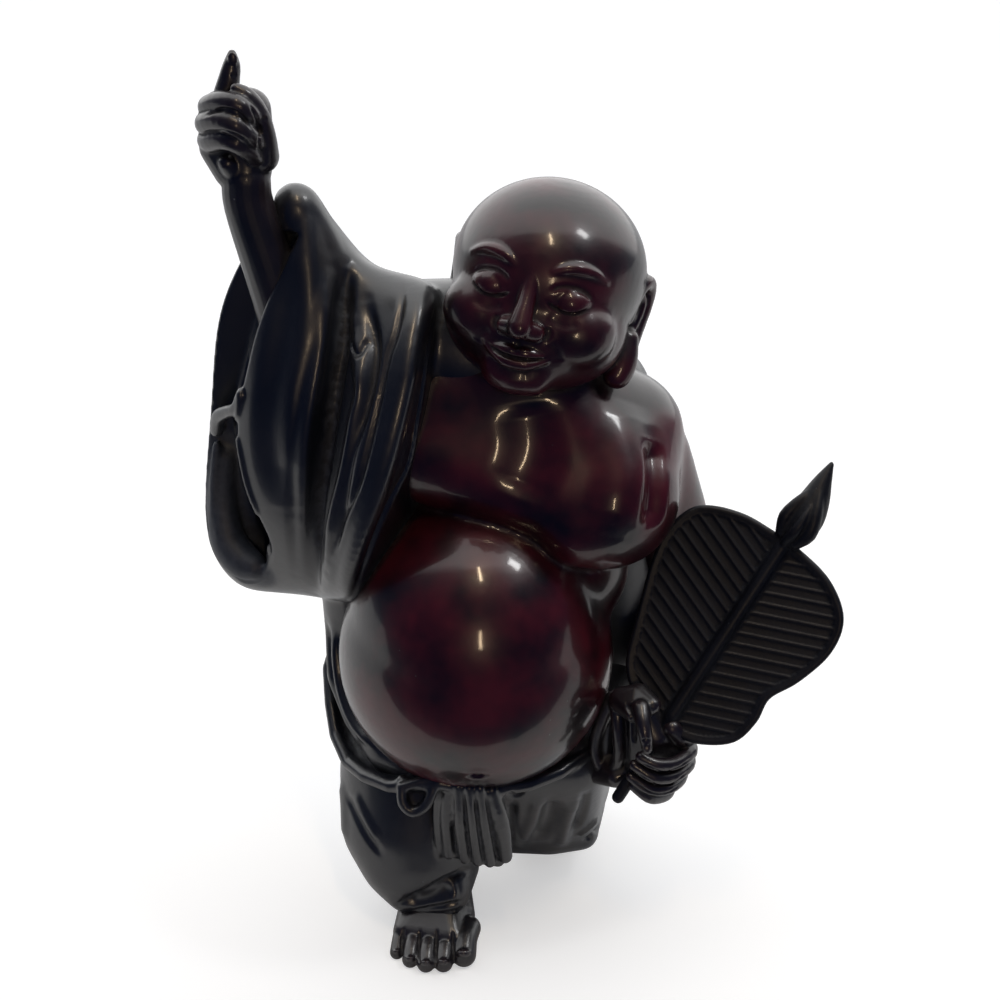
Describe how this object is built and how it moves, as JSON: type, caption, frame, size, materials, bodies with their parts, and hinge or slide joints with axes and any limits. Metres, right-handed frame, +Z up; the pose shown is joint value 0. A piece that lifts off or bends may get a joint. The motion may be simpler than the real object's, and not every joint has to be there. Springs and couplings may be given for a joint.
{
  "type": "laughing buddha statue",
  "caption": "Standing laughing buddha figurine in dark resin, bare belly, draped coat with a wide sleeve, one arm raised, leaf fan in the other fist",
  "frame": {"origin": "centre of the bounding box's bottom face, on the surface that the figurine stands on", "axes": "+Z up, the figurine's front faces -Y, and its raised right arm is towards -X"},
  "size_m": [0.2078, 0.1206, 0.2995],
  "materials": {
    "figure": "glossy dark mahogany cast resin, nearly black in the folds",
    "leaf_fan": "satin black-brown cast resin"
  },
  "bodies": {
    "root": {"figure": "figure", "leaf_fan": "leaf_fan"}
  },
  "joints": []
}
